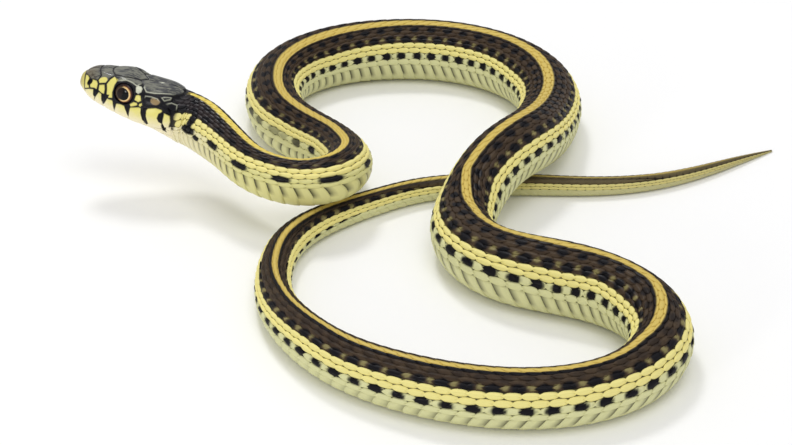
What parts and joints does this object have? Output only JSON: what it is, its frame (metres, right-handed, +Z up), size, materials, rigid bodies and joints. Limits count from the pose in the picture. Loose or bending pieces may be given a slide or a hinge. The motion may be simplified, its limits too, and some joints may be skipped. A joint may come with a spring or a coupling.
{
  "type": "garter snake model",
  "caption": "Still life-size model of a plains garter snake resting in loose loops, head raised, with its trunk lying across its tail.",
  "frame": {"origin": "On the floor, below the middle of the model's box.", "axes": "+Z up. The head points to -X, the tail's tip to +X. The first large loop lies towards +Y and the second towards -Y."},
  "size_m": [0.1436, 0.1526, 0.0254],
  "materials": {
    "head_plates": "smooth glossy horny plates, olive grey with black seams and cream lips",
    "jaw_skin": "smooth cream scales",
    "eye": "wet glossy black pupil with a gold-orange iris ring",
    "body_scales": "keeled satin scales, dark brown with an orange-yellow back stripe and pale yellow side stripes, cream belly"
  },
  "bodies": {
    "root": {"head": "head_plates", "lower_jaw": "jaw_skin", "eye_left": "eye", "eye_right": "eye", "neck_1": "body_scales", "neck_2": "body_scales", "trunk_1": "body_scales", "trunk_2": "body_scales", "trunk_3": "body_scales", "trunk_4": "body_scales", "trunk_5": "body_scales", "trunk_6": "body_scales", "trunk_7": "body_scales", "trunk_8": "body_scales", "trunk_9": "body_scales", "trunk_10": "body_scales", "tail_1": "body_scales", "tail_2": "body_scales", "tail_3": "body_scales", "tail_4": "body_scales"}
  },
  "joints": []
}
